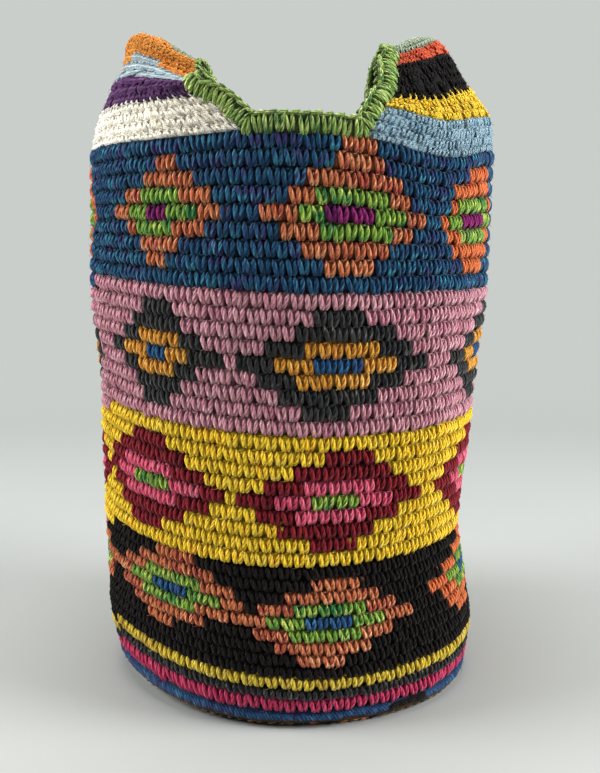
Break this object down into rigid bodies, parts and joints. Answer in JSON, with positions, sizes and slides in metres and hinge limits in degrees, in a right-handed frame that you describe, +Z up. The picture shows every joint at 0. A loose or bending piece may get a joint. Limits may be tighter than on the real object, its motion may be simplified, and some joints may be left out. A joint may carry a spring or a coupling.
{
  "type": "crocheted hobo bag",
  "caption": "Tall round-based crocheted shoulder bag with colour bands of nested diamonds, striped ears at both sides and a broad strap folded over them to hang inside.",
  "frame": {"origin": "middle of the flat base, on the floor it stands on", "axes": "+Z up along the bag's axis, -Y towards the front neckline, +X towards the right ear"},
  "size_m": [0.222, 0.222, 0.3512],
  "materials": {
    "tan_yarn": "matte wool yarn",
    "blue_yarn": "heathered matte wool yarn",
    "magenta_yarn": "matte wool yarn",
    "charcoal_yarn": "fuzzy matte wool yarn",
    "yellow_yarn": "matte wool yarn",
    "black_yarn": "fuzzy matte wool yarn",
    "pink_yarn": "fuzzy matte wool yarn",
    "ecru_yarn": "matte wool yarn",
    "purple_yarn": "matte wool yarn",
    "sky_yarn": "heathered matte wool yarn",
    "orange_yarn": "matte wool yarn",
    "coral_yarn": "matte wool yarn",
    "sage_yarn": "matte wool yarn",
    "green_yarn": "matte wool yarn"
  },
  "bodies": {
    "root": {"base_disc": "tan_yarn", "rim_blue": "blue_yarn", "rim_magenta": "magenta_yarn", "rim_charcoal": "charcoal_yarn", "rim_yellow": "yellow_yarn", "band_black": "black_yarn", "band_yellow": "yellow_yarn", "band_pink": "pink_yarn", "band_blue": "blue_yarn", "left_ear_white": "ecru_yarn", "left_ear_purple": "purple_yarn", "left_ear_sky": "sky_yarn", "left_ear_orange": "orange_yarn", "strap_middle": "sage_yarn", "right_ear_coral": "coral_yarn", "right_ear_black": "black_yarn", "right_ear_yellow": "yellow_yarn", "right_ear_sky": "sky_yarn", "front_edging": "green_yarn", "back_edging": "green_yarn"}
  },
  "joints": []
}
